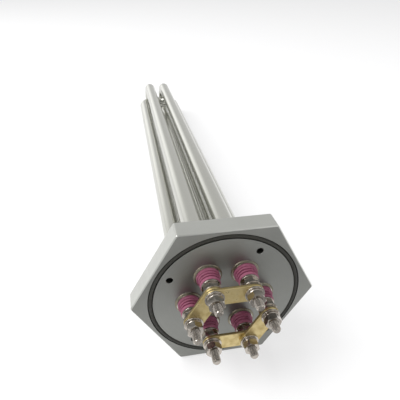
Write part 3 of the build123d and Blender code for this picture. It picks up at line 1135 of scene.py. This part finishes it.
class HEATER_OT_spring_washers(HeaterOperator, bpy.types.Operator):
    """Models the split spring washers under the top nuts"""

    bl_idname = "heater.spring_washers"
    bl_label = "Spring Washers"

    def execute(self, context):
        s = self.terminal
        width = s.spring_radius - s.washer_bore
        middle_radius = s.washer_bore + width / 2
        gap_angle = s.spring_gap / middle_radius
        thickness = s.spring_thickness - s.spring_lift
        deselect()
        bpy.ops.mesh.primitive_plane_add(
            size=1.0, location=(middle_radius, 0, thickness / 2), rotation=(math.radians(90), 0, 0)
        )
        ring = bpy.context.object
        ring.scale = (width, thickness, 1.0)
        settled()
        edit(ring)
        bpy.ops.mesh.select_all(action="SELECT")
        bpy.ops.transform.rotate(value=-gap_angle / 2, orient_axis="Z", center_override=(0, 0, 0))
        bpy.ops.mesh.spin(
            steps=64, angle=2 * math.pi - gap_angle, center=(0, 0, 0), axis=(0, 0, 1), use_auto_merge=False
        )
        leave_edit()
        for vertex in ring.data.vertices:
            angle = math.atan2(vertex.co.y, vertex.co.x) % (2 * math.pi)
            vertex.co.z += s.spring_lift * angle / (2 * math.pi)
        tidy_mesh(ring)
        break_edges(ring, s.washer_break, angle=50.0)
        smooth(ring, angle=35.0)
        stand_on_legs(
            ring,
            "split_washer",
            *PLATED,
            "spring_washers",
            lambda leg: link_front(leg) - s.washer_thickness,
            lambda leg: TOP_NUT_TURNS[leg - 1],
        )
        return {"FINISHED"}


class HEATER_OT_links(HeaterOperator, bpy.types.Operator):
    """Models the four brass links between neighbouring studs"""

    bl_idname = "heater.links"
    bl_label = "Brass Links"

    def execute(self, context):
        for first, second in LINKED_LEGS:
            self.make_link(first, second)
        return {"FINISHED"}

    def make_link(self, first, second):
        s = self.terminal
        node = f"brass_link_{first}_{second}"
        (x_a, z_a), (x_b, z_b) = leg_place(first), leg_place(second)
        pitch = math.hypot(x_b - x_a, z_b - z_a)
        deselect()
        bpy.ops.mesh.primitive_plane_add(size=1.0)
        link = bpy.context.object
        link.scale = (pitch + s.link_width, s.link_width, 1.0)
        settled()
        edit(link)
        bpy.ops.mesh.select_all(action="SELECT")
        bpy.ops.mesh.bevel(offset=s.link_width / 2, segments=20, affect="VERTICES", clamp_overlap=True)
        bpy.ops.mesh.select_all(action="SELECT")
        bpy.ops.mesh.remove_doubles(threshold=0.001 * MM)
        bpy.ops.mesh.select_all(action="SELECT")
        bpy.ops.mesh.extrude_region_move(TRANSFORM_OT_translate={"value": (0, 0, s.link_thickness)})
        leave_edit()
        tidy_mesh(link)
        beyond = 0.5 * MM
        for side in (-pitch / 2, pitch / 2):
            carve(link, rod(s.link_bore, -beyond, s.link_thickness + beyond, (side, 0.0), LINK_BORE_SIDES))
        break_edges(link, s.link_edge, segments=3)
        smooth(link, angle=35.0)
        angle = math.degrees(math.atan2(z_b - z_a, x_b - x_a))
        foot_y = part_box(node)[1].y
        link.data.transform(standing_to_frame((x_a + x_b) / 2, foot_y, (z_a + z_b) / 2, -angle))
        hand_over(link, f"link_strip_{first}_{second}", "rolled_brass", node)


class HEATER_OT_inner_finishes(HeaterOperator, bpy.types.Operator):
    """Gives the CAD pieces that stay their finishes: the seal ring and what the tubes hold"""

    bl_idname = "heater.inner_finishes"
    bl_label = "Seal Ring and Inner Pieces"

    def execute(self, context):
        finishes = {"cover_seal_ring": "moulded_rubber"}
        for name in HAIRPIN_LEGS:
            finishes[f"magnesia_fill_{name}"] = "pressed_magnesia"
            finishes[f"resistance_coil_{name}"] = "wound_resistance_wire"
        for node, material in finishes.items():
            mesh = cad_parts[node].data
            mesh.materials.clear()
            mesh.materials.append(finish_named(material))
        return {"FINISHED"}


class HEATER_OT_stage(HeaterOperator, bpy.types.Operator):
    """Sets the floor, the lamps, the studio sky and the camera at the photo's place"""

    bl_idname = "heater.stage"
    bl_label = "Stage"

    def execute(self, context):
        stage = context.scene.heater_stage
        context.scene.view_settings.view_transform = "Standard"
        self.make_floor(stage)
        self.make_sky(stage)
        self.make_lamp("key_lamp", stage.key_place, stage.key_size, stage.key_level)
        self.make_lamp("fill_lamp", stage.fill_place, stage.fill_size, stage.fill_level)
        self.make_camera(stage)
        return {"FINISHED"}

    def make_floor(self, stage):
        """The heater lies on one flat of its head and on the far ends of its lower tubes."""
        tube_low, tube_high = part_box("sheath_right")
        tube = self.element.tube_radius
        span = (tube_high.z - tube_low.z) / 2 - tube
        rest_y = tube_high.y - tube - span
        tilt = math.atan2(tube_low.z - plug_low.z, rest_y)
        deselect()
        bpy.ops.mesh.primitive_grid_add(x_subdivisions=8, y_subdivisions=8, size=stage.floor_size)
        floor = bpy.context.object
        floor.name = "floor"
        floor.data.transform(Matrix.Translation((0, 0, plug_low.z)) @ Matrix.Rotation(tilt, 4, "X"))
        floor.data.materials.append(finish_named("matte_white_card"))

    def make_sky(self, stage):
        """A soft sky, dimmer in front, with a bright panel low at the back left."""
        world = bpy.data.worlds.new("studio_sky")
        world.use_nodes = True
        tree = world.node_tree
        direction = add_node(tree, "ShaderNodeTexCoord", out="Generated")
        back = add_node(tree, "ShaderNodeSeparateXYZ", (direction,), "Y")
        levels = (stage.front_level, stage.sky_level)
        soft = add_node(tree, "ShaderNodeMapRange", (back, stage.front_full, stage.sky_full, *levels))
        towards = Vector(stage.panel_direction).normalized()
        facing = add_node(tree, "ShaderNodeVectorMath", (direction, towards), "Value", operation="DOT_PRODUCT")
        ramp = (facing, stage.panel_edge, stage.panel_full, 0.0, stage.panel_level)
        panel = add_node(tree, "ShaderNodeMapRange", ramp)
        level = add_node(tree, "ShaderNodeMath", (soft, panel), operation="ADD")
        sky = tree.nodes["Background"]
        sky.inputs["Color"].default_value = (1.0, 1.0, 1.0, 1.0)
        tree.links.new(level, sky.inputs["Strength"])
        bpy.context.scene.world = world

    def make_lamp(self, name, place, size, power):
        """A square soft box that faces the head."""
        light = bpy.data.lights.new(name, "AREA")
        light.size = size
        light.energy = power
        lamp = bpy.data.objects.new(name, light)
        bpy.context.scene.collection.objects.link(lamp)
        lamp.location = place
        lamp.rotation_euler = (-Vector(place)).to_track_quat("-Z", "Y").to_euler()

    def make_camera(self, stage):
        """A camera with the photo's place, lens and framing."""
        lens = bpy.data.cameras.new("photo_camera")
        camera = bpy.data.objects.new("photo_camera", lens)
        bpy.context.scene.collection.objects.link(camera)
        place, aim = Vector(stage.camera_place), Vector(stage.camera_aim)
        look = (aim - place).to_track_quat("-Z", "Y").to_matrix()
        camera.matrix_world = Matrix.Translation(place) @ (look @ Matrix.Rotation(stage.camera_roll, 3, "Z")).to_4x4()
        lens.sensor_width = 36.0
        lens.lens = lens.sensor_width * stage.focal_pixels / stage.photo_pixels
        lens.shift_x = 0.5 - stage.axis_pixel[0] / stage.photo_pixels
        lens.shift_y = stage.axis_pixel[1] / stage.photo_pixels - 0.5
        lens.clip_start = 5.0 * MM
        bpy.context.scene.camera = camera


OPERATORS = (
    HEATER_OT_plug_head,
    HEATER_OT_spigot_thread,
    HEATER_OT_weld_beads,
    HEATER_OT_sheaths,
    HEATER_OT_bushes,
    HEATER_OT_studs,
    HEATER_OT_nuts,
    HEATER_OT_washers,
    HEATER_OT_spring_washers,
    HEATER_OT_links,
    HEATER_OT_inner_finishes,
    HEATER_OT_stage,
)

GROUPS = {
    "heater_plug": PlugSizes,
    "heater_elements": ElementSizes,
    "heater_terminals": TerminalSizes,
    "heater_colours": FinishColours,
    "heater_stage": StageSizes,
}


class HEATER_PT_panel(bpy.types.Panel):
    """Lists the heater's operators and sizes"""

    bl_idname = "HEATER_PT_panel"
    bl_label = "Immersion Heater"
    bl_space_type = "VIEW_3D"
    bl_region_type = "UI"
    bl_category = "Heater"

    def draw(self, context):
        for operator in OPERATORS:
            self.layout.operator(operator.bl_idname)
        for attribute, group in GROUPS.items():
            box = self.layout.box()
            box.label(text=group.__doc__)
            for name in group.__annotations__:
                box.prop(getattr(context.scene, attribute), name)


def register():
    for group in GROUPS.values():
        bpy.utils.register_class(group)
    for attribute, group in GROUPS.items():
        setattr(bpy.types.Scene, attribute, bpy.props.PointerProperty(type=group))
    for operator in OPERATORS:
        bpy.utils.register_class(operator)
    bpy.utils.register_class(HEATER_PT_panel)


def unregister():
    bpy.utils.unregister_class(HEATER_PT_panel)
    for operator in reversed(OPERATORS):
        bpy.utils.unregister_class(operator)
    for attribute in GROUPS:
        delattr(bpy.types.Scene, attribute)
    for group in reversed(GROUPS.values()):
        bpy.utils.unregister_class(group)


def main():
    """Builds everything in order."""
    register()
    for operator in OPERATORS:
        family, name = operator.bl_idname.split(".")
        getattr(getattr(bpy.ops, family), name)()


if __name__ == "__main__":
    main()
